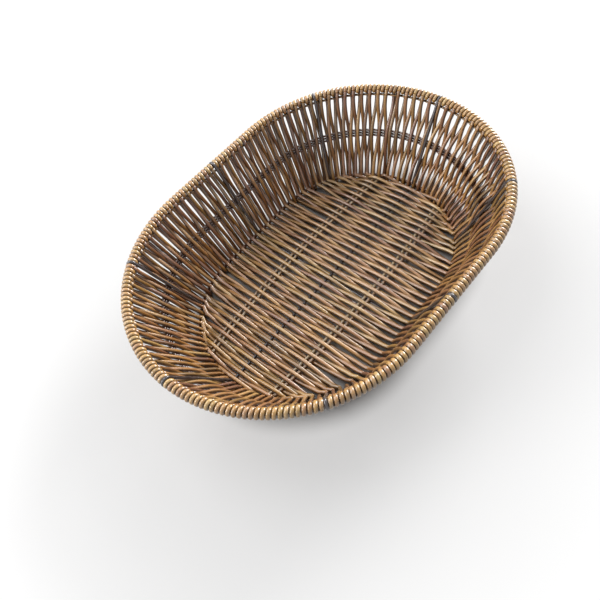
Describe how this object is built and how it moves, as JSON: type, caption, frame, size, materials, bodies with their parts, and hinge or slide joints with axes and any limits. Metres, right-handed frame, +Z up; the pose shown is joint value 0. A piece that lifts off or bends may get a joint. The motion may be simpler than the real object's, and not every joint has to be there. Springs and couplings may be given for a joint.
{
  "type": "oval rattan basket",
  "caption": "Shallow open oval basket: round rattan strands woven on a wire frame and looped round the rim, with flared walls and a flat woven floor.",
  "frame": {"origin": "on the surface that the basket stands on, under the middle of its floor", "axes": "+X along the basket's length, +Y across it, +Z up out of its mouth"},
  "size_m": [0.3598, 0.262, 0.0828],
  "materials": {
    "frame_wire": "thin dark lacquer, blue-grey highlights",
    "rim_rattan": "smooth round core, straw to gold-tan, slight gloss",
    "wall_rattan": "smooth round core, golden to reddish brown, slight gloss",
    "band_rattan": "smooth round core, dark brown, slight gloss",
    "floor_rattan": "smooth round core, golden to pinkish tan, slight gloss"
  },
  "bodies": {
    "root": {"rim_wire": "frame_wire", "base_ring_wire": "frame_wire", "post_wire_1": "frame_wire", "post_wire_2": "frame_wire", "post_wire_3": "frame_wire", "post_wire_4": "frame_wire", "post_wire_5": "frame_wire", "post_wire_6": "frame_wire", "post_wire_7": "frame_wire", "post_wire_8": "frame_wire", "floor_spine_wire": "frame_wire", "floor_cross_wire": "frame_wire", "rim_weaver": "band_rattan", "band_weaver_1": "band_rattan", "band_weaver_2": "band_rattan", "band_weaver_3": "band_rattan", "rim_wrap_1": "rim_rattan", "rim_wrap_2": "rim_rattan", "rim_wrap_3": "rim_rattan", "rim_wrap_4": "rim_rattan", "rim_wrap_5": "rim_rattan", "rim_wrap_6": "rim_rattan", "rim_wrap_7": "rim_rattan", "rim_wrap_8": "rim_rattan", "wall_strands_1": "wall_rattan", "wall_strands_2": "wall_rattan", "wall_strands_3": "wall_rattan", "wall_strands_4": "wall_rattan", "wall_strands_5": "wall_rattan", "wall_strands_6": "wall_rattan", "wall_strands_7": "wall_rattan", "wall_strands_8": "wall_rattan", "near_floor_weaver_inner": "floor_rattan", "near_floor_weaver_outer": "floor_rattan", "far_floor_weaver_inner": "floor_rattan", "far_floor_weaver_outer": "floor_rattan", "near_left_floor_strands_inner": "floor_rattan", "near_left_floor_strands_outer": "floor_rattan", "near_right_floor_strands_inner": "floor_rattan", "near_right_floor_strands_outer": "floor_rattan", "far_left_floor_strands_inner": "floor_rattan", "far_left_floor_strands_outer": "floor_rattan", "far_right_floor_strands_inner": "floor_rattan", "far_right_floor_strands_outer": "floor_rattan"}
  },
  "joints": []
}
